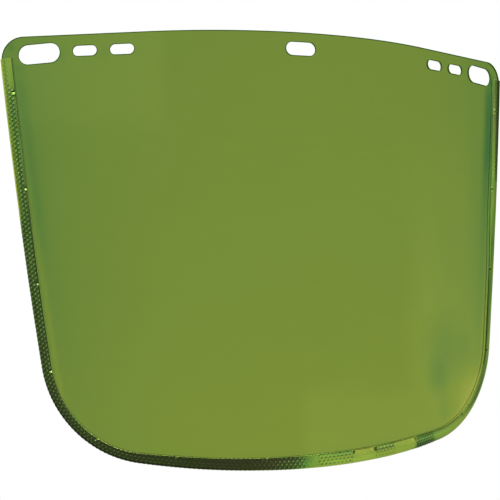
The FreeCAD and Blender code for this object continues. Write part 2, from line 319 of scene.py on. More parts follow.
def sheet_material():
    m, n = material("tinted_plastic_sheet")
    out = n.new("ShaderNodeOutputMaterial")
    flat = n.attr("flat", "Vector")
    tone_and_painted_light = n.attr("tone_and_painted_light")
    # tone carries the tint with painted reflection, shade and light
    # faint cast ripple and drawn streaks in the tint
    ripple = n.noise(n.vmath("MULTIPLY", flat, (0.035, 0.16, 1.0)), 1.0, 3.0, 0.55)
    cloud = n.noise(flat, 0.018, 2.0, 0.5)
    uneven = n.math("ADD", n.math("MULTIPLY", n.math("SUBTRACT", ripple, 0.5), 0.16),
                    n.math("MULTIPLY", n.math("SUBTRACT", cloud, 0.5), 0.12))
    t = n.math("ADD", tone_and_painted_light, uneven)
    fac = n.math("DIVIDE", n.math("SUBTRACT", t, TONE_LO), TONE_HI - TONE_LO, clamp=True)
    tint = n.ramp(fac, sheet_stops())

    # hairline scuffs and a fine orange-peel in the polish
    long_u = n.noise(n.vmath("MULTIPLY", flat, (0.05, 2.3, 1.0)), 1.0, 4.0, 0.7)
    long_v = n.noise(n.vmath("MULTIPLY", flat, (1.9, 0.04, 1.0)), 1.0, 4.0, 0.7)
    peel = n.noise(flat, 0.22, 2.0, 0.5)
    scuffs = n.math("MAXIMUM", n.step(long_u, 0.66, 0.78), n.step(long_v, 0.67, 0.79))
    normal = n.bump(n.math("ADD", n.math("MULTIPLY", peel, 1.0), n.math("MULTIPLY", scuffs, 0.02)),
                    0.25, 0.00006)

    clear = n.new("ShaderNodeBsdfTransparent")
    n.put(clear.inputs["Color"], tint)
    gloss = n.new("ShaderNodeBsdfGlossy")
    gloss.inputs["Color"].default_value = (0.92, 1.0, 0.30, 1.0)
    smudge = n.noise(flat, 0.045, 3.0, 0.6)
    rough = n.math("ADD", n.step(smudge, 0.35, 0.75, 0.05, 0.14), n.math("MULTIPLY", scuffs, 0.06))
    n.put(gloss.inputs["Roughness"], rough)
    n.put(gloss.inputs["Normal"], normal)
    # share of light turned back at either face, from the angle outside the sheet
    geo = n.new("ShaderNodeNewGeometry")
    dot = n.new("ShaderNodeVectorMath", operation="DOT_PRODUCT")
    n.put(dot.inputs[0], geo.outputs["Incoming"])
    n.put(dot.inputs[1], geo.outputs["Normal"])
    facing_eye = n.math("ABSOLUTE", dot.outputs["Value"])
    grazing = n.math("POWER", n.math("SUBTRACT", 1.0, facing_eye, clamp=True), 5.0)
    turned = n.math("MULTIPLY_ADD", grazing, 0.975, 0.022, clamp=True)
    # dust and fine scatter in the surface
    haze = n.new("ShaderNodeBsdfDiffuse")
    haze.inputs["Color"].default_value = (0.30, 0.40, 0.12, 1.0)
    amount = n.math("ADD", n.step(n.noise(flat, 0.35, 4.0, 0.6), 0.45, 0.9, 0.0, 0.02),
                    n.math("MULTIPLY", scuffs, 0.012))
    base = n.new("ShaderNodeMixShader")
    n.put(base.inputs[0], amount)
    n.put(base.inputs[1], clear.outputs[0])
    n.put(base.inputs[2], haze.outputs[0])
    top = n.new("ShaderNodeMixShader")
    n.put(top.inputs[0], turned)
    n.put(top.inputs[1], base.outputs[0])
    n.put(top.inputs[2], gloss.outputs[0])
    n.put(out.inputs["Surface"], top.outputs[0])
    return m


def sheet_edge_material():
    """The die-cut edge: the tint is seen through the sheet's depth, so it is
    darker, and the cut is slightly frosted with fine score lines."""
    m, n = material("tinted_plastic_cut_edge")
    out = n.new("ShaderNodeOutputMaterial")
    flat = n.attr("flat", "Vector")
    score = n.noise(n.vmath("MULTIPLY", flat, (1.6, 1.6, 9.0)), 1.0, 3.0, 0.6)
    deep = n.ramp(score, [(0.25, (*lin(52, 100, 18), 1)), (0.75, (*lin(84, 132, 30), 1))])
    clear = n.new("ShaderNodeBsdfTransparent")
    n.put(clear.inputs["Color"], deep)
    body = n.new("ShaderNodeBsdfPrincipled")
    n.put(body.inputs["Base Color"], n.mix(0.5, deep, (*lin(58, 112, 12), 1)))
    body.inputs["Roughness"].default_value = 0.42
    body.inputs["IOR"].default_value = 1.45
    body.inputs["Specular IOR Level"].default_value = 0.10
    n.put(body.inputs["Normal"], n.bump(score, 0.35, 0.00008))
    mix = n.new("ShaderNodeMixShader")
    mix.inputs[0].default_value = 0.38
    n.put(mix.inputs[1], clear.outputs[0])
    n.put(mix.inputs[2], body.outputs[0])
    n.put(out.inputs["Surface"], mix.outputs[0])
    return m


# ---------------------------------------------------------------------------
# Material: knurled aluminium strip with a green lacquer. "strip" is (along, across from the fold, 0) in
# millimetres, "crest" is 1 on top of a knurl dot, "rub" is 1 where the strip was pressed smooth and no grime
# or painted valley shade is laid. A per-vertex colour factor multiplies in painted reflection along the rim.
# ---------------------------------------------------------------------------
def binding_material():
    m, n = material("knurled_aluminium_strip")
    out = n.new("ShaderNodeOutputMaterial")
    strip = n.attr("strip", "Vector")
    crest = n.attr("crest")
    rub = n.attr("rub")
    patch = n.noise(strip, 0.06, 3.0, 0.6)
    fine = n.noise(strip, 1.3, 3.0, 0.6)
    drawn = n.noise(n.vmath("MULTIPLY", strip, (0.06, 3.2, 1.0)), 1.0, 3.0, 0.6)

    lacquer = n.ramp(patch, [(0.30, (0.235, 0.355, 0.050, 1)), (0.55, (0.280, 0.380, 0.056, 1)),
                             (0.80, (0.330, 0.395, 0.070, 1))])
    worn = n.ramp(fine, [(0.3, (0.42, 0.52, 0.22, 1)), (0.7, (0.62, 0.66, 0.42, 1))])
    wear = n.math("MULTIPLY", n.step(crest, 0.55, 0.95), n.step(fine, 0.35, 0.65, 0.25, 0.85))
    colour = n.mix(wear, lacquer, worn)
    # grime and painted shade: the valleys between the knurl dots are painted darker and dirtier
    valley = n.math("MULTIPLY", n.math("SUBTRACT", 1.0, n.step(crest, 0.0, 0.35)),
                    n.math("SUBTRACT", 1.0, rub))
    grime_and_painted_shade = n.math("MULTIPLY", valley, n.step(patch, 0.3, 0.7, 0.25, 0.6))
    colour = n.mix(grime_and_painted_shade, colour, (0.055, 0.060, 0.024, 1))
    # painted reflection along the rim from the per-vertex colour factor, with a little wear
    colour = n.mix(1.0, colour, n.attr("painted_light_and_wear", "Vector"), "MULTIPLY")

    bsdf = n.new("ShaderNodeBsdfPrincipled")
    n.put(bsdf.inputs["Base Color"], colour)
    bsdf.inputs["Metallic"].default_value = 1.0
    rough = n.math("ADD", n.step(drawn, 0.3, 0.7, 0.16, 0.26), n.math("MULTIPLY", grime_and_painted_shade, 0.20))
    n.put(bsdf.inputs["Roughness"], rough)
    height = n.math("ADD", n.math("MULTIPLY", drawn, 0.6), n.math("MULTIPLY", fine, 0.4))
    n.put(bsdf.inputs["Normal"], n.bump(height, 0.35, 0.00004))

    film = n.new("ShaderNodeBsdfDiffuse")
    film.inputs["Color"].default_value = (0.045, 0.040, 0.034, 1)
    mix = n.new("ShaderNodeMixShader")
    n.put(mix.inputs[0], n.math("ADD", 0.10, n.math("MULTIPLY", grime_and_painted_shade, 0.25)))
    n.put(mix.inputs[1], bsdf.outputs[0])
    n.put(mix.inputs[2], film.outputs[0])
    n.put(out.inputs["Surface"], mix.outputs[0])
    return m


def inside_material():
    """The bare inside of the channel: dull oxide, with painted light as emission in place of what the tinted
    sheet carries to its own edge. "glow" is how much painted light it gives off along the rim."""
    m, n = material("channel_inside_oxide")
    out = n.new("ShaderNodeOutputMaterial")
    strip = n.attr("strip", "Vector")
    blotch = n.noise(strip, 0.35, 3.0, 0.6)
    tone_and_painted_light = n.ramp(blotch, [(0.3, (0.50, 0.50, 0.62, 1)), (0.7, (0.64, 0.62, 0.80, 1))])
    body = n.new("ShaderNodeBsdfPrincipled")
    n.put(body.inputs["Base Color"], tone_and_painted_light)
    body.inputs["Metallic"].default_value = 0.25
    body.inputs["Roughness"].default_value = 0.6
    n.put(body.inputs["Normal"], n.bump(blotch, 0.3, 0.00005))
    n.put(body.inputs["Emission Color"], tone_and_painted_light)
    n.put(body.inputs["Emission Strength"], n.attr("glow"))
    n.put(out.inputs["Surface"], body.outputs[0])
    return m


# ---------------------------------------------------------------------------
# Window sheet
# ---------------------------------------------------------------------------
def arc_points(c, r, a0, a1, step):
    k = max(2, int(math.ceil(abs(a1 - a0) * r / step)) + 1)
    a = np.linspace(a0, a1, k)
    return np.stack([c[0] + r * np.cos(a), c[1] + r * np.sin(a)], 1)


def sheet_outline():
    """Cut line of the sheet, counter-clockwise, and its outward normals."""
    rs = SIDE_R - SEAT
    cv = -TOP_R
    cu = SIDE_C[0] + math.sqrt((rs - TOP_R) ** 2 - (cv - SIDE_C[1]) ** 2)
    meet = heading(SIDE_C, (cu, cv))
    pieces, norms = [], []

    def add(c, r, a0, a1, step, outward=True):
        p = arc_points(c, r, a0, a1, step)
        nrm = (p - np.array(c)) / r
        pieces.append(p)
        norms.append(nrm)

    # from the bottom centre, up the right side, to the top edge
    add(BOTTOM_C, BOTTOM_R - SEAT, -math.pi / 2, A_LOW, 1.3)
    add(LOWER_C, LOWER_R - SEAT, A_LOW, A_SIDE, 0.9)
    add(SIDE_C, rs, A_SIDE, meet, 1.3)
    add((cu, cv), TOP_R, meet, math.pi / 2, 0.45)
    k = int(cu / 1.3) + 1
    top = np.stack([np.linspace(cu, 0, k), np.zeros(k)], 1)
    pieces.append(top)
    norms.append(np.tile([0.0, 1.0], (k, 1)))
    p = np.vstack(pieces)
    q = np.vstack(norms)
    keep = np.ones(len(p), bool)
    keep[1:] = np.linalg.norm(np.diff(p, axis=0), axis=1) > 1e-6
    p, q = p[keep], q[keep]
    mp = p[::-1][1:-1] * [-1, 1]
    mq = q[::-1][1:-1] * [-1, 1]
    return np.vstack([p, mp]), np.vstack([q, mq])


def slot_outline(u, v, length, width, lean=0.0, step=0.32):
    """A slot's cut line, clockwise, with normals pointing into the opening."""
    r = width / 2
    a = length / 2 - r
    arc = max(8, int(math.pi * r / step))
    run = max(3, int(2 * a / 0.9))
    t = np.linspace(-math.pi / 2, math.pi / 2, arc + 1)
    right = np.stack([u + a + r * np.cos(t), v + r * np.sin(t)], 1)
    left = np.stack([u - a - r * np.cos(t), v - r * np.sin(t)], 1)
    rn = np.stack([np.cos(t), np.sin(t)], 1)
    top = np.stack([np.linspace(u + a, u - a, run + 1)[1:-1], np.full(run - 1, v + r)], 1)
    low = np.stack([np.linspace(u - a, u + a, run + 1)[1:-1], np.full(run - 1, v - r)], 1)
    p = np.vstack([right, top, left, low])
    # the left end's normals point left, its points run from bottom to top
    q = np.vstack([rn, np.tile([0, 1.0], (run - 1, 1)), -rn, np.tile([0, -1.0], (run - 1, 1))])
    c, s = math.cos(math.radians(lean)), math.sin(math.radians(lean))
    turn = np.array([[c, s], [-s, c]])
    p = (p - [u, v]) @ turn + [u, v]
    q = q @ turn
    return p[::-1], -q[::-1]


SLOTS = [(0.0, -7.7, 14.7, 6.3, 0.0)]
for side in (-1, 1):
    SLOTS += [(side * 84.0, -7.7, 11.3, 4.8, 0.0), (side * 101.5, -7.7, 11.3, 4.8, 0.0),
              (side * 123.1, -8.3, 19.6, 9.1, -side * 3.0)]


def inside(poly, pts):
    x, y = pts[:, 0], pts[:, 1]
    res = np.zeros(len(pts), bool)
    a = poly
    b = np.roll(poly, -1, axis=0)
    for (x0, y0), (x1, y1) in zip(a, b):
        if y0 == y1:
            continue
        hit = ((y0 > y) != (y1 > y)) & (x < (x1 - x0) * (y - y0) / (y1 - y0) + x0)
        res ^= hit
    return res


def rim_depth(u, v):
    """How far in from the binding's outer line a point is, and where along it."""
    a = np.abs(u)
    at_b = np.arctan2(v - BOTTOM_C[1], a - BOTTOM_C[0])
    at_c = np.arctan2(v - LOWER_C[1], a - LOWER_C[0])
    at_s = np.arctan2(v - SIDE_C[1], a - SIDE_C[0])
    on_b, on_s = at_b <= A_LOW, at_s >= A_SIDE
    depth = np.where(on_b, BOTTOM_R - np.hypot(a - BOTTOM_C[0], v - BOTTOM_C[1]),
                     np.where(on_s, SIDE_R - np.hypot(a - SIDE_C[0], v - SIDE_C[1]),
                              LOWER_R - np.hypot(a - LOWER_C[0], v - LOWER_C[1])))
    run = np.where(on_b, (at_b + math.pi / 2) * BOTTOM_R,
                   np.where(on_s, L_BOTTOM + L_LOWER + (at_s - A_SIDE) * SIDE_R,
                            L_BOTTOM + (at_c - A_LOW) * LOWER_R))
    return depth, np.where(u < 0, -run, run)


# painted light on the sheet beside the binding's lip, along the rim
RIM_S = [-292, -260, -245, -230, -215, -200, -185, -170, -140, -65, 0, 26, 75, 90, 105, 120, 140,
         160, 180, 200, 220, 240, 260, 275, 292]
RIM_PAINTED_LIGHT = [-0.25, -0.15, 0.10, 0.35, 0.50, 0.50, 0.10, 0.15, 0.02, -0.08, -0.08, -0.20, -0.15, 0.30,
            0.60, 0.75, 0.80, 0.90, 0.75, 0.50, 0.40, 0.40, 0.25, 0.40, 0.30]


def tone_of(u, v):
    """Sheet colour value: the plain tint with painted reflection and shade over the sheet; the ramp in the
    material turns it to colour.
    """
    u = np.asarray(u, float)
    v = np.asarray(v, float)
    # painted reflection: a smooth gradient across and down the sheet
    t = np.interp(u, [-142, -125, -110, -95, -75, -50, -20, 60, 90, 105, 118, 142],
                  [-0.15, 0.02, 0.30, 0.40, 0.50, 0.58, 0.62, 0.62, 0.54, 0.48, 0.32, 0.20])
    down = smooth(-20, -205, v)
    t = t + np.interp(-v, [0, 15, 60, 90, 120, 150, 175, 200],
                      [-0.10, -0.06, 0.0, 0.06, 0.11, 0.20, 0.28, 0.30])
    t = t - 0.14 * smooth(-60, -130, u) * smooth(-60, -150, v)
    t = t - 0.12 * smooth(72, 92, u) * smooth(-60, -100, v)
    # painted light beside the lip: the sheet is made paler, in places darker, along the rim
    depth, s = rim_depth(u, v)
    beyond = depth - np.interp(s, LAP_S, LAP_D)
    t = t + np.interp(s, RIM_S, RIM_PAINTED_LIGHT) * smooth(3.6, 1.3, beyond)
    # distance in from the side's cut line
    side = SIDE_R - SEAT - np.hypot(np.abs(u) - SIDE_C[0], v - SIDE_C[1])
    # painted dark reflection in bands beside the binding, wearer's right: a narrow one and a broader, fainter
    # one
    left = np.where(u < 0, 1.0, 0.0)
    edge = side - 5.4
    band = smooth(7.0, 3.0, edge) * (0.55 + 0.45 * smooth(0.2, 2.6, edge))
    t = t - left * 0.66 * band * smooth(-12, -24, v) * smooth(-112, -80, v)
    t = t - left * 0.14 * smooth(16, 4, edge) * smooth(-10, -60, v) * smooth(-170, -100, v)
    # a thin pale line on the sheet beside the lip, low down
    t = t + left * 0.55 * smooth(-96, -118, v) * smooth(1.9, 0.2, np.abs(edge - 0.9))
    # and painted shade beside the binding, wearer's left, stronger and softer inwards
    band = smooth(9.0, 3.6, edge)
    fade = np.interp(-v, [0, 8, 18, 30, 50, 62, 80, 100, 125, 150, 175],
                     [0.0, 0.5, 1.75, 2.05, 1.9, 1.45, 0.95, 0.62, 0.36, 0.12, 0.0])
    t = t - (1 - left) * band * fade
    t = t - (1 - left) * 0.30 * smooth(24, 6, edge) * smooth(-30, -60, v) * smooth(-175, -110, v)
    # soft spots: top corners, between the big slots and the binding
    def spot(cu, cv, ru, rv):
        d = np.hypot((u - cu) / ru, (v - cv) / rv)
        return smooth(1.0, 0.0, d)
    t = t - 0.75 * spot(-136.5, -4.6, 3.2, 3.2)
    t = t - 0.60 * spot(-133.0, -14.5, 5.0, 3.5)
    t = t - 1.2 * spot(133.8, -10.0, 3.6, 6.0)
    t = t + 0.30 * spot(137.5, -4.5, 4.0, 5.0)
    # between the small slots
    t = t - 0.30 * spot(-112.2, -9.0, 3.6, 6.0) - 0.18 * spot(-92.7, -9.5, 4.0, 6.0)
    # lower right: a darker patch and a paler one beside it
    t = t - 0.85 * spot(80, -166, 13, 14) * smooth(98, 84, u)
    t = t - 0.62 * spot(86, -152, 27, 26)
    t = t + 0.50 * smooth(84, 102, u) * smooth(-158, -182, v)
    t = t + 0.75 * spot(110, -179, 17, 22)
    t = t - 0.30 * spot(103, -152, 9, 12)
    t = t - 0.30 * spot(84, -183, 5, 12)
    return t


def build_window():
    loops, normals = [], []
    p, q = sheet_outline()
    loops.append(p)
    normals.append(q)
    for s in SLOTS:
        p, q = slot_outline(*s)
        loops.append(p)
        normals.append(q)
    # a rolled die-cut edge: rings from the front face round to the back face
    h = HALF_SHEET
    b = 0.24
    rings = [(b, h), (0.130 * b / 0.24, h - 0.022 * b / 0.24), (0.045 * b / 0.24, h - 0.075 * b / 0.24),
             (0.0, h - b), (0.0, -h + b), (0.045 * b / 0.24, -h + 0.075 * b / 0.24),
             (0.130 * b / 0.24, -h + 0.022 * b / 0.24), (b, -h)]
    ring_tilt = [90, 68, 35, 0, 0, -35, -68, -90]

    # triangles of the flat faces, in the flat
    ring0 = [lp - nm * rings[0][0] for lp, nm in zip(loops, normals)]
    bound = np.vstack(ring0)
    starts = np.cumsum([0] + [len(r) for r in ring0])
    edges = []
    for k, r in enumerate(ring0):
        m = len(r)
        edges += [(int(starts[k] + i), int(starts[k] + (i + 1) % m)) for i in range(m)]
    g = 1.55
    cols = np.arange(-145, 145.01, g)
    grid = []
    for k, cu in enumerate(cols):
        rows = np.arange(-203.5, 0.5, g) + (g / 2 if k % 2 else 0)
        grid.append(np.stack([np.full(len(rows), cu), rows], 1))
    grid = np.vstack(grid)
    ok = inside(ring0[0], grid)
    for r in ring0[1:]:
        ok &= ~inside(r, grid)
    grid = grid[ok]
    # keep a margin so no sliver triangles form at the cut lines
    far = np.full(len(grid), 1e9)
    for k in range(0, len(bound), 64):
        blk = bound[k:k + 64]
        d = np.min(np.hypot(grid[:, None, 0] - blk[None, :, 0], grid[:, None, 1] - blk[None, :, 1]), axis=1)
        far = np.minimum(far, d)
    grid = grid[far > 0.62]
    flat_pts = np.vstack([bound, grid])
    res = delaunay_2d_cdt([Vector((float(a), float(c))) for a, c in flat_pts], edges, [], 0, 1e-7)
    pts = np.array([(w.x, w.y) for w in res[0]])
    if len(pts) != len(flat_pts):
        raise RuntimeError("the triangulation added or dropped points")
    tris = np.array(res[2], int)
    order = [ids[0] for ids in res[3]]
    back_map = np.array(order)
    tris = back_map[tris]
    pts = flat_pts
    c = pts[tris].mean(1)
    ok = inside(ring0[0], c)
    for r in ring0[1:]:
        ok &= ~inside(r, c)
    tris = tris[ok]
    area = ((pts[tris[:, 1], 0] - pts[tris[:, 0], 0]) * (pts[tris[:, 2], 1] - pts[tris[:, 0], 1])
            - (pts[tris[:, 1], 1] - pts[tris[:, 0], 1]) * (pts[tris[:, 2], 0] - pts[tris[:, 0], 0]))
    tris[area < 0] = tris[area < 0][:, ::-1]

    nf = len(pts)
    nb = len(bound)
    uv = [pts, pts]
    off = [np.full(nf, h), np.full(nf, -h)]
    across, up, out = facing(pts[:, 0])
    nrm = [out, -out]
    faces = [tris, tris[:, ::-1] + nf]
    mats = [np.zeros(len(tris), int), np.zeros(len(tris), int)]
    base = 2 * nf
    ring_start = [0]
    lp_all = np.vstack(loops)
    nm_all = np.vstack(normals)
    for inset, o in rings[1:-1]:
        ring_start.append(base)
        p = lp_all - nm_all * inset
        uv.append(p)
        off.append(np.full(nb, o))
        base += nb
    ring_start.append(nf)
    for tilt in ring_tilt[1:-1]:
        a, up, o = facing(lp_all[:, 0])
        sideways = a * nm_all[:, :1] + up * nm_all[:, 1:]
        nrm.append(sideways * math.cos(math.radians(tilt)) + o * math.sin(math.radians(tilt)))
    quads = []
    for r in range(len(rings) - 1):
        for k in range(len(loops)):
            m = starts[k + 1] - starts[k]
            i = np.arange(m) + starts[k]
            j = (np.arange(m) + 1) % m + starts[k]
            quads.append(np.stack([ring_start[r] + i, ring_start[r + 1] + i,
                                   ring_start[r + 1] + j, ring_start[r] + j], 1))
    quads = np.vstack(quads)
    uv = np.vstack(uv)
    off = np.concatenate(off)
    nrm = np.vstack(nrm)
    xyz = place(uv[:, 0], uv[:, 1], off) * 0.001
    all_faces = [tuple(f) for f in faces[0]] + [tuple(f) for f in faces[1]] + [tuple(f) for f in quads]
    face_mat = np.concatenate([mats[0], mats[1], np.ones(len(quads), int)])
    ob = mesh_object("window_sheet", xyz, all_faces,
                     [sheet_material(), sheet_edge_material()], face_mat)
    add_attribute(ob, "flat", np.stack([uv[:, 0], uv[:, 1], off], 1))
    add_attribute(ob, "tone_and_painted_light", tone_of(uv[:, 0], uv[:, 1]))
    nrm = nrm / np.linalg.norm(nrm, axis=1)[:, None]
    ob.data.normals_split_custom_set_from_vertices([tuple(v) for v in nrm])
    return ob


# ---------------------------------------------------------------------------
# Edge binding: a knurled strip folded into a channel round the sides and foot
# ---------------------------------------------------------------------------
METAL = 0.5
GAP = 0.05
FOLD_R = 0.9
HALF_OUT = HALF_SHEET + GAP + METAL      # 1.05
PITCH, ROW = 2.1, 1.45
ROW_START = 0.41
DOT_R, DOT_H = 0.60, 0.150

# how far the lip of the binding laps the sheet, along the rim
LAP_S = [-292, -242, -218, -195, -171, -150, -120, -97, -80, -61, -41, -18, 7, 34, 60, 90, 119, 139,
         164, 191, 206, 218, 246, 292]
LAP_D = [5.55, 5.50, 5.25, 4.94, 4.74, 4.69, 4.38, 4.26, 4.65, 5.24, 5.44, 5.85, 6.20, 6.27, 6.05,
         4.95, 4.03, 3.70, 3.99, 4.29, 5.25, 5.70, 5.73, 5.77]
PRESS = [-275.2, -230.0, -185.7, -144.7, -103.3, -63.7, -23.0, 22.0, 34.5, 60.0, 101.5, 145.0,
         188.5, 232.0, 275.0]


def knurl_share(s, w):
    """How much of the knurl is left: it is pressed flat in places."""
    flatness = np.zeros(np.broadcast(s, w).shape)
    for a, b, amount in ((3.6, 21.2, 0.50), (21.2, 34.8, 1.0), (46.2, 61.0, 1.0), (74.5, 236.0, 1.0)):
        flatness = np.maximum(flatness, amount * smooth(a - 0.5, a + 0.5, s) * smooth(b + 0.5, b - 0.5, s))
    flatness = np.maximum(flatness, 0.92 * smooth(-9.0, -0.5, s) * smooth(5.0, 3.4, s))
    # the lower half of one patch was pressed nearly smooth
    flatness = np.maximum(flatness, 0.7 * smooth(4.6, 3.8, w) * smooth(34.3, 35.3, s) * smooth(47, 46, s))
    # the fold itself is rubbed smooth up the wearer's right side
    flatness = np.maximum(flatness, 0.92 * smooth(2.35, 1.75, w) * smooth(-206, -222, s))
    # near the top ends the inner half is smooth
    inner = smooth(3.4, 3.9, w)
    flatness = np.maximum(flatness, inner * smooth(-276.0, -278.5, s))
    flatness = np.maximum(flatness, 0.85 * smooth(-278.5, -280.5, s) * smooth(2.6, 3.2, w))
    flatness = np.maximum(flatness, inner * smooth(224.0, 230.0, s))
    return 1 - flatness


def dots(s, w, pitch):
    row = np.round((w - ROW_START) / ROW)
    dw = (w - ROW_START) - row * ROW
    ss = s / pitch + 0.5 * np.mod(row, 2)
    ds = (ss - np.round(ss)) * pitch
    r = np.hypot(ds, dw) / DOT_R
    return np.where(r < 1, np.cos(np.clip(r, 0, 1) * math.pi / 2) ** 2, 0.0)


def press_marks(s, e):
    """Crimp marks in the front lip: a V-shaped dent and the burr beside it."""
    dent = np.zeros(np.broadcast(s, e).shape)
    burr = np.zeros(np.broadcast(s, e).shape)
    for c in PRESS:
        big = 1.9 if abs(c - 34.5) < 0.1 else 1.0
        reach = 1.9 * (1.15 if big > 1 else 1.0)
        half = 1.0 * big * np.clip(1 - e / reach, 0, 1) + 1e-6
        x = np.abs(s - c) / half
        dent = np.maximum(dent, np.clip(1 - x, 0, 1) * np.clip(1 - e / reach, 0, 1) ** 0.5)
        side = 1 if c < 0 else -1
        x2 = np.abs(s - (c + side * 1.15 * big)) / (0.55 * big)
        burr = np.maximum(burr, smooth(1, 0, x2) * smooth(1.8, 0.4, e))
    return dent, burr


# painted light given off by the inside of the channel, along the rim
GLOW_S = [-292, -245, -215, -185, -155, -120, -95, -60, 0, 60, 90, 120, 160, 200, 240, 260, 292]
GLOW = [1.30, 1.60, 1.85, 1.85, 1.90, 1.65, 1.25, 1.00, 0.95, 1.15, 1.35, 1.30, 1.40, 1.60, 1.60, 1.50,
        1.80]

# Painted reflection along the rim: bright and dark stretches standing in for what the metal mirrors, laid into
# the lacquer as factors on its plain colour, at four places across the strip: on the fold, just off it, in the
# middle, at the lip.
FOLD_PAINTED_LIGHT = [(-280, 1.40, 1.40, 1.35), (-222, 1.45, 1.42, 1.40), (-208, 0.42, 0.62, 0.62),
             (-112, 0.50, 0.65, 0.65), (-25, 0.70, 0.78, 0.90), (-12, 0.40, 0.60, 0.65),
             (-3, 0.75, 1.10, 0.90), (3, 1.10, 1.10, 1.10), (56, 1.00, 1.00, 1.00),
             (62, 0.12, 0.22, 0.12), (73, 0.25, 0.36, 0.22), (84, 0.80, 0.88, 0.80)]
OUTER_PAINTED_LIGHT = [(-280, 1.40, 1.80, 1.40), (-228, 1.55, 2.10, 1.35), (-212, 0.85, 1.30, 1.40),
              (-110, 0.80, 1.10, 1.10), (-20, 1.20, 1.15, 1.40), (-3, 1.20, 2.00, 2.00),
              (3, 1.32, 1.55, 1.35), (59, 1.18, 1.18, 0.98), (62, 0.25, 0.50, 0.50),
              (73, 0.30, 0.55, 0.50), (77, 0.78, 0.92, 0.76), (106, 0.80, 0.90, 0.75),
              (116, 0.31, 0.47, 0.38), (130, 0.40, 0.55, 0.50), (150, 0.66, 0.80, 0.80),
              (205, 0.62, 0.88, 0.62), (240, 1.00, 1.55, 0.90), (275, 0.65, 1.10, 0.90)]
MID_PAINTED_LIGHT = [(-279, 1.40, 1.60, 1.75), (-272, 0.62, 1.25, 1.45), (-226, 0.55, 1.10, 1.30),
            (-195, 1.20, 1.60, 2.10), (-110, 0.95, 1.15, 1.50), (-20, 1.10, 1.05, 1.45),
            (-12, 1.45, 1.70, 2.15), (-3, 0.95, 1.60, 1.85), (3, 1.32, 1.50, 1.38),
            (12, 1.15, 1.20, 1.22), (60, 1.22, 1.25, 1.20), (63, 0.80, 1.28, 1.45),
            (75, 0.85, 1.15, 1.15), (98, 0.88, 0.92, 0.78), (110, 0.33, 0.42, 0.34),
            (122, 0.17, 0.26, 0.18), (145, 0.55, 0.68, 0.75), (170, 0.43, 0.62, 0.50),
            (203, 0.33, 0.60, 0.40), (214, 1.00, 1.30, 1.10), (240, 1.90, 2.25, 1.85),
            (264, 1.05, 1.50, 0.85)]
LIP_PAINTED_LIGHT = [(-276, 1.20, 1.55, 1.55), (-245, 1.60, 2.30, 2.35), (-228, 1.45, 1.90, 2.10),
            (-215, 0.80, 1.15, 1.30), (-185, 0.90, 1.30, 1.40), (-112, 1.65, 1.95, 2.20),
            (-98, 0.80, 0.86, 1.00), (-20, 0.95, 0.98, 1.20), (-10, 0.85, 1.00, 1.15), (-3, 1.15, 1.55, 1.55),
            (4, 1.30, 1.55, 1.60), (13, 1.05, 1.35, 1.60), (20, 0.85, 1.28, 1.75),
            (23, 1.50, 1.36, 1.35), (34.5, 1.50, 1.36, 1.35), (36, 1.70, 2.15, 2.40),
            (45, 1.50, 1.90, 1.90), (47, 1.50, 1.45, 1.40), (60, 1.50, 1.45, 1.40), (63, 0.48, 0.80, 0.75),
            (76, 0.52, 0.68, 0.64), (118, 0.76, 0.80, 0.95), (136, 0.30, 0.50, 0.48),
            (162, 0.15, 0.28, 0.20), (182, 0.40, 0.60, 0.45), (196, 0.95, 1.40, 1.50),
            (240, 1.80, 2.30, 2.00), (257, 2.50, 3.00, 3.40)]


def painted_light_and_wear(s, w, e, dot):
    """Colour factor over the strip, mostly painted reflection; w is the way from the fold, e from the lip."""
    q = np.clip((w - 1.56) / np.maximum(w + e - 1.56, 0.5), 0, 1)
    fold = smooth(2.1, 1.5, w)
    places = np.array([0.20, 0.55, 0.88])
    share = [np.interp(q, places, row) for row in np.eye(3)]
    total = np.zeros(q.shape + (3,))
    for table, weight in ((FOLD_PAINTED_LIGHT, fold), (OUTER_PAINTED_LIGHT, (1 - fold) * share[0]),
                          (MID_PAINTED_LIGHT, (1 - fold) * share[1]), (LIP_PAINTED_LIGHT, (1 - fold) * share[2])):
        at = [row[0] for row in table]
        for k in range(3):
            total[..., k] += weight * np.interp(s, at, [row[k + 1] for row in table])
    # a brown rub line on the very fold, wearer's right
    rub = smooth(0.55, 0.25, w) * smooth(-216, -226, s)
    total *= 1 - rub[..., None] * np.array([0.10, 0.40, 0.60])
    # painted shade in the valleys of the knurl, high up on the wearer's left, where the knurl is also painted
    # lighter
    painted_valley_shade = smooth(232, 246, s) * smooth(0.9, 1.3, w) * smooth(0.55, 0.10, dot)
    # and faint green crests where the knurl was half flattened
    faint = smooth(3.0, 4.2, s) * smooth(21.8, 20.6, s) * smooth(1.4, 1.8, w) * smooth(0.15, 0.45, dot)
    total *= 1 - faint[..., None] * np.array([0.42, 0.14, 0.10])
    total *= (1 + 0.35 * smooth(232, 246, s) * smooth(0.9, 1.3, w) - 1.05 * painted_valley_shade)[..., None]
    return total


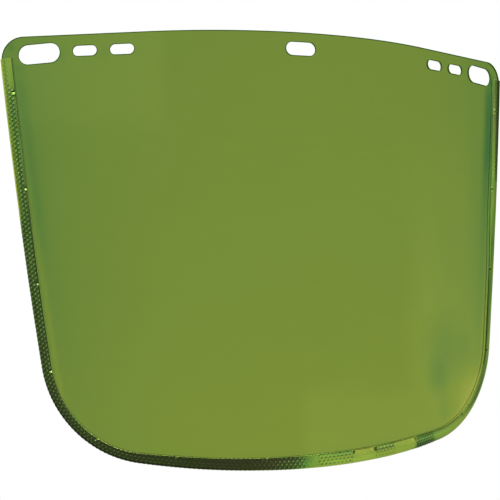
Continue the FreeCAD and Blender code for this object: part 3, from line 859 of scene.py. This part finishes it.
def build_binding():
    start, end = -HALF + 0.3, HALF + 0.7      # one end is trimmed a little higher
    pitch = (end - start) / round((end - start) / PITCH)
    ns = int(round((end - start) / pitch)) * 6 + 1
    s = np.linspace(start, end, ns)
    lap = np.interp(s, LAP_S, LAP_D)
    kern = np.hanning(61)
    kern /= kern.sum()
    lap = np.convolve(np.pad(lap, 30, mode="edge"), kern, mode="valid")
    u0, v0, nu, nv = rim(s)

    lip_r = 0.13
    nflat, narc = 18, 6
    rows = []      # inset, off, outward-in-plane normal part, off normal part, w

    def row(d, o, nd, no, w):
        rows.append((d, o, np.full(ns, nd), np.full(ns, no), w))

    quarter = math.pi / 2 * FOLD_R
    flat_w = 0.15 + quarter
    # front lip, rounded
    for ang in (90, 60, 30):
        a = math.radians(ang)
        row(lap - lip_r + lip_r * math.sin(a), np.full(ns, HALF_OUT - lip_r + lip_r * math.cos(a)),
            -math.sin(a), math.cos(a), flat_w + lap - FOLD_R)
    front = []
    for k in range(nflat + 1):
        t = k / nflat
        d = (lap - lip_r) * (1 - t) + FOLD_R * t
        front.append(len(rows))
        row(d, np.full(ns, HALF_OUT), 0.0, 1.0, flat_w + d - FOLD_R)
    for k in range(1, narc + 1):
        a = math.pi / 2 * k / narc
        row(np.full(ns, FOLD_R - FOLD_R * math.sin(a)), np.full(ns, 0.15 + FOLD_R * math.cos(a)),
            math.sin(a), math.cos(a), np.full(ns, 0.15 + FOLD_R * (math.pi / 2 - a)))
    for k in range(0, narc):
        a = math.pi / 2 * k / narc
        row(np.full(ns, FOLD_R - FOLD_R * math.cos(a)), np.full(ns, -0.15 - FOLD_R * math.sin(a)),
            math.cos(a), -math.sin(a), np.full(ns, -0.15 - FOLD_R * a))
    back_lap = lap + 0.0
    for k in range(nflat + 1):
        t = k / nflat
        d = FOLD_R * (1 - t) + (back_lap - lip_r) * t
        row(d, np.full(ns, -HALF_OUT), 0.0, -1.0, -(flat_w + d - FOLD_R))
    for ang in (30, 60, 90):
        a = math.radians(ang)
        row(back_lap - lip_r + lip_r * math.sin(a),
            np.full(ns, -HALF_OUT + lip_r - lip_r * math.cos(a)), -math.sin(a), -math.cos(a),
            -(flat_w + back_lap - FOLD_R))
    outer = len(rows)
    # the inside of the channel
    gap = HALF_SHEET + GAP
    for d, o in ((back_lap, -gap), (np.full(ns, METAL), -gap), (np.full(ns, METAL), gap), (lap, gap)):
        row(d, np.full(ns, o), 0.0, 0.0, np.zeros(ns))

    nr = len(rows)
    D = np.array([r[0] for r in rows])
    O = np.array([r[1] for r in rows])
    ND = np.array([r[2] for r in rows])
    NO = np.array([r[3] for r in rows])
    W = np.array([r[4] for r in rows])
    S = np.tile(s, (nr, 1))

    on_skin = np.zeros((nr, 1))
    on_skin[2:outer - 2] = 1.0
    share = knurl_share(S, np.abs(W))
    dot = dots(S, W, pitch) * share
    e_front = np.where(O > 0, lap[None, :] - D, 99.0)
    lip_fade = smooth(0.05, 0.45, np.where(O > 0, lap[None, :] - D, back_lap[None, :] - D))
    dent, burr = press_marks(S, e_front)
    flat_front = (O > HALF_OUT - 0.01).astype(float)
    end_fade = smooth(0.0, 0.5, S - start) * smooth(0.0, 0.5, end - S)
    rng = np.random.default_rng(7)
    # the strip isn't dead flat: slow waves of a few hundredths along and across it
    wave = (0.030 * np.sin(S / 17.0 + 0.4) + 0.020 * np.sin(S / 7.3 + 1.3) + 0.012 * np.sin(S / 3.1 + W * 0.8))
    lift = (DOT_H * dot * lip_fade + wave * 0.6) * on_skin * end_fade
    lift = lift - 0.33 * dent * flat_front * on_skin * smooth(0.0, 0.12, e_front + 0.13)
    lift = lift + 0.16 * burr * flat_front * on_skin
    D2 = D - ND * lift
    O2 = O + NO * lift
    U = u0[None, :] - nu[None, :] * D2
    V = v0[None, :] - nv[None, :] * D2
    xyz = place(U, V, O2).reshape(-1, 3) * 0.001

    idx = np.arange(nr * ns).reshape(nr, ns)
    faces = []
    for j in range(nr):
        a = idx[j]
        b = idx[(j + 1) % nr]
        faces.append(np.stack([a[:-1], b[:-1], b[1:], a[1:]], 1))
    faces = [tuple(f) for f in np.vstack(faces)]
    cap0 = tuple(int(i) for i in idx[:, 0])
    cap1 = tuple(int(i) for i in idx[::-1, -1])
    faces += [cap0, cap1]
    face_mat = np.repeat(np.arange(nr), ns - 1)
    face_mat = ((face_mat >= outer) & (face_mat < outer + 3)).astype(int)
    face_mat = np.append(face_mat, [0, 0])
    ob = mesh_object("edge_binding", xyz, faces, [binding_material(), inside_material()], face_mat)
    # colour factor along the strip: painted reflection, painted valley shade and some wear
    add_attribute(ob, "painted_light_and_wear", painted_light_and_wear(S, np.abs(W), np.where(O > 0, e_front, 3.0),
                                          np.where(share > 0.3, dot, 1.0)).reshape(-1, 3))
    add_attribute(ob, "glow", np.interp(S, GLOW_S, GLOW).ravel())
    add_attribute(ob, "strip", np.stack([S.ravel(), W.ravel(), np.zeros(S.size)], 1))
    add_attribute(ob, "crest", (dot * on_skin).ravel())
    # half-flattened places get no grime or painted shade between the dots
    clean = np.maximum(smooth(3.0, 4.2, S) * smooth(21.8, 20.6, S),
                       smooth(34.3, 35.3, S) * smooth(47, 46, S) * smooth(4.6, 3.8, np.abs(W)))
    add_attribute(ob, "rub", (np.maximum(1 - share, 0.97 * clean) * on_skin).ravel())
    # crisp corners where the metal was cut, and inside the channel
    me = ob.data
    sharp_rows = {outer - 1, outer, outer + 1, outer + 2, outer + 3, 0}
    vi = np.empty(len(me.edges) * 2, np.int32)
    me.edges.foreach_get("vertices", vi)
    vi = vi.reshape(-1, 2)
    r0, r1 = vi[:, 0] // ns, vi[:, 1] // ns
    c0, c1 = vi[:, 0] % ns, vi[:, 1] % ns
    sharp = (r0 == r1) & np.isin(r0, list(sharp_rows)) & (np.abs(c0 - c1) == 1)
    sharp |= (c0 == c1) & ((c0 == 0) | (c0 == ns - 1))
    att = me.attributes.get("sharp_edge") or me.attributes.new("sharp_edge", "BOOLEAN", "EDGE")
    att.data.foreach_set("value", sharp)
    me.update()
    return ob


window = build_window()
binding = build_binding()

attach(window, "root")
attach(binding, "root")
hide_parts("window")
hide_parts("edge_channel")

# ---------------------------------------------------------------------------
# Studio: a white floor and sweep that read as plain white to the camera, and a
# dim room with soft boxes for the metal and the gloss to pick up
# ---------------------------------------------------------------------------
def studio_world():
    w = bpy.data.worlds.new("studio")
    bpy.context.scene.world = w
    w.use_nodes = True
    n = Nodes(w.node_tree)
    out = n.new("ShaderNodeOutputWorld")
    tex = n.new("ShaderNodeTexCoord")
    sep = n.new("ShaderNodeSeparateXYZ")
    n.put(sep.inputs[0], tex.outputs["Generated"])
    x, y, z = sep.outputs
    az = n.math("MULTIPLY", n.math("ARCTAN2", x, n.math("MULTIPLY", y, -1.0)), 180 / math.pi)
    el = n.math("MULTIPLY", n.math("ARCSINE", z), 180 / math.pi)

    def both(a, b):
        return n.math("MULTIPLY", a, b)

    left = both(n.step(az, -50, -62), n.step(el, -16, -4))
    corner = both(both(n.step(az, -66, -58), n.step(az, -24, -32)),
                  both(n.step(el, 8.0, 10.0), n.step(el, 24, 16)))
    low = both(both(n.step(az, 17.0, 23.0), n.step(az, 86, 70)), n.step(el, -5.6, -7.4))
    side = both(n.step(az, 58, 76), n.step(el, 12, -6))
    right = n.math("MAXIMUM", low, side)
    above = n.step(el, 30, 46)
    level = n.math("ADD", 0.085, n.math("MULTIPLY", left, 0.85))
    level = n.math("ADD", level, n.math("MULTIPLY", corner, 0.62))
    level = n.math("ADD", level, n.math("MULTIPLY", right, 0.93))
    level = n.math("ADD", level, n.math("MULTIPLY", above, 1.6))
    room = n.new("ShaderNodeBackground")
    n.put(room.inputs["Color"], n.mix(n.step(level, 0.1, 0.5), (0.95, 0.98, 1.10, 1), (1, 1, 0.97, 1)))
    n.put(room.inputs["Strength"], level)
    soft = n.new("ShaderNodeBackground")
    soft.inputs["Color"].default_value = (1, 1, 1, 1)
    soft.inputs["Strength"].default_value = 0.75
    white = n.new("ShaderNodeBackground")
    white.inputs["Color"].default_value = (1, 1, 1, 1)
    white.inputs["Strength"].default_value = 1.0
    lp = n.new("ShaderNodeLightPath")
    a = n.new("ShaderNodeMixShader")
    n.put(a.inputs[0], lp.outputs["Is Diffuse Ray"])
    n.put(a.inputs[1], room.outputs[0])
    n.put(a.inputs[2], soft.outputs[0])
    b = n.new("ShaderNodeMixShader")
    n.put(b.inputs[0], lp.outputs["Is Camera Ray"])
    n.put(b.inputs[1], a.outputs[0])
    n.put(b.inputs[2], white.outputs[0])
    n.put(out.inputs["Surface"], b.outputs[0])


def studio_floor():
    low = CAD_BOX[0][2] - 0.0004
    me = bpy.data.meshes.new("studio_floor")
    half, depth, r, top = 2.5, 1.6, 0.5, 2.2
    prof = [(-3.0, low)]
    prof += [(depth - r + r * math.sin(a), low + r - r * math.cos(a))
             for a in np.linspace(0, math.pi / 2, 13)]
    prof += [(depth, low + top)]
    verts = [(-half, y, z) for y, z in prof] + [(half, y, z) for y, z in prof]
    k = len(prof)
    me.from_pydata(verts, [], [(i, i + k, i + k + 1, i + 1) for i in range(k - 1)])
    me.polygons.foreach_set("use_smooth", np.ones(k - 1, bool))
    ob = bpy.data.objects.new("studio_floor", me)
    bpy.context.scene.collection.objects.link(ob)
    m, n = material("studio_white")
    out = n.new("ShaderNodeOutputMaterial")
    glow = n.new("ShaderNodeEmission")
    glow.inputs["Color"].default_value = (1, 1, 1, 1)
    glow.inputs["Strength"].default_value = 1.0
    n.put(out.inputs["Surface"], glow.outputs[0])
    me.materials.append(m)
    ob.visible_glossy = False
    ob.visible_diffuse = False


def area(name, where, aim, size, size_y, power, colour=(1, 1, 1)):
    d = bpy.data.lights.new(name, "AREA")
    d.shape = "RECTANGLE"
    d.size, d.size_y = size, size_y
    d.energy = power
    d.color = colour
    ob = bpy.data.objects.new(name, d)
    ob.location = where
    ob.rotation_euler = (Vector(aim) - Vector(where)).to_track_quat("-Z", "Y").to_euler()
    ob.visible_camera = False
    bpy.context.scene.collection.objects.link(ob)
    return ob


def aimed(az, el, dist, centre=(0, 0.02, -0.1)):
    a, e = math.radians(az), math.radians(el)
    return (centre[0] + dist * math.cos(e) * math.sin(a),
            centre[1] - dist * math.cos(e) * math.cos(a), centre[2] + dist * math.sin(e))


studio_world()
studio_floor()
area("key_softbox", aimed(-30, 36, 1.6), (0, 0.02, -0.1), 0.42, 0.34, 9.0)
area("top_softbox", aimed(25, 62, 1.7), (0, 0.02, -0.1), 0.9, 0.6, 14.0)

# ---------------------------------------------------------------------------
# Camera
# ---------------------------------------------------------------------------
def camera():
    az, el, roll = -0.32610, -0.03065, -0.02256
    dist = 0.493948
    target = Vector((-0.017612, 0.029032, -0.100902))
    back = Vector((math.sin(az) * math.cos(el), -math.cos(az) * math.cos(el), math.sin(el)))
    at = target + back * dist
    right = (-back).cross(Vector((0, 0, 1))).normalized()
    up = right.cross(-back)
    c, s = math.cos(roll), math.sin(roll)
    right, up = c * right + s * up, -s * right + c * up
    data = bpy.data.cameras.new("camera")
    data.sensor_fit = "HORIZONTAL"
    data.sensor_width = 36.0
    data.lens = 1012.4 / 500 * 36.0
    data.clip_start, data.clip_end = 0.01, 50.0
    ob = bpy.data.objects.new("camera", data)
    m = Matrix.Identity(4)
    for i in range(3):
        m[i][0], m[i][1], m[i][2], m[i][3] = right[i], up[i], back[i], at[i]
    ob.matrix_world = m
    bpy.context.scene.collection.objects.link(ob)
    bpy.context.scene.camera = ob


camera()
view = bpy.context.scene.view_settings
view.view_transform = "Standard"
view.look = "None"
view.exposure = 0.0
view.gamma = 1.0
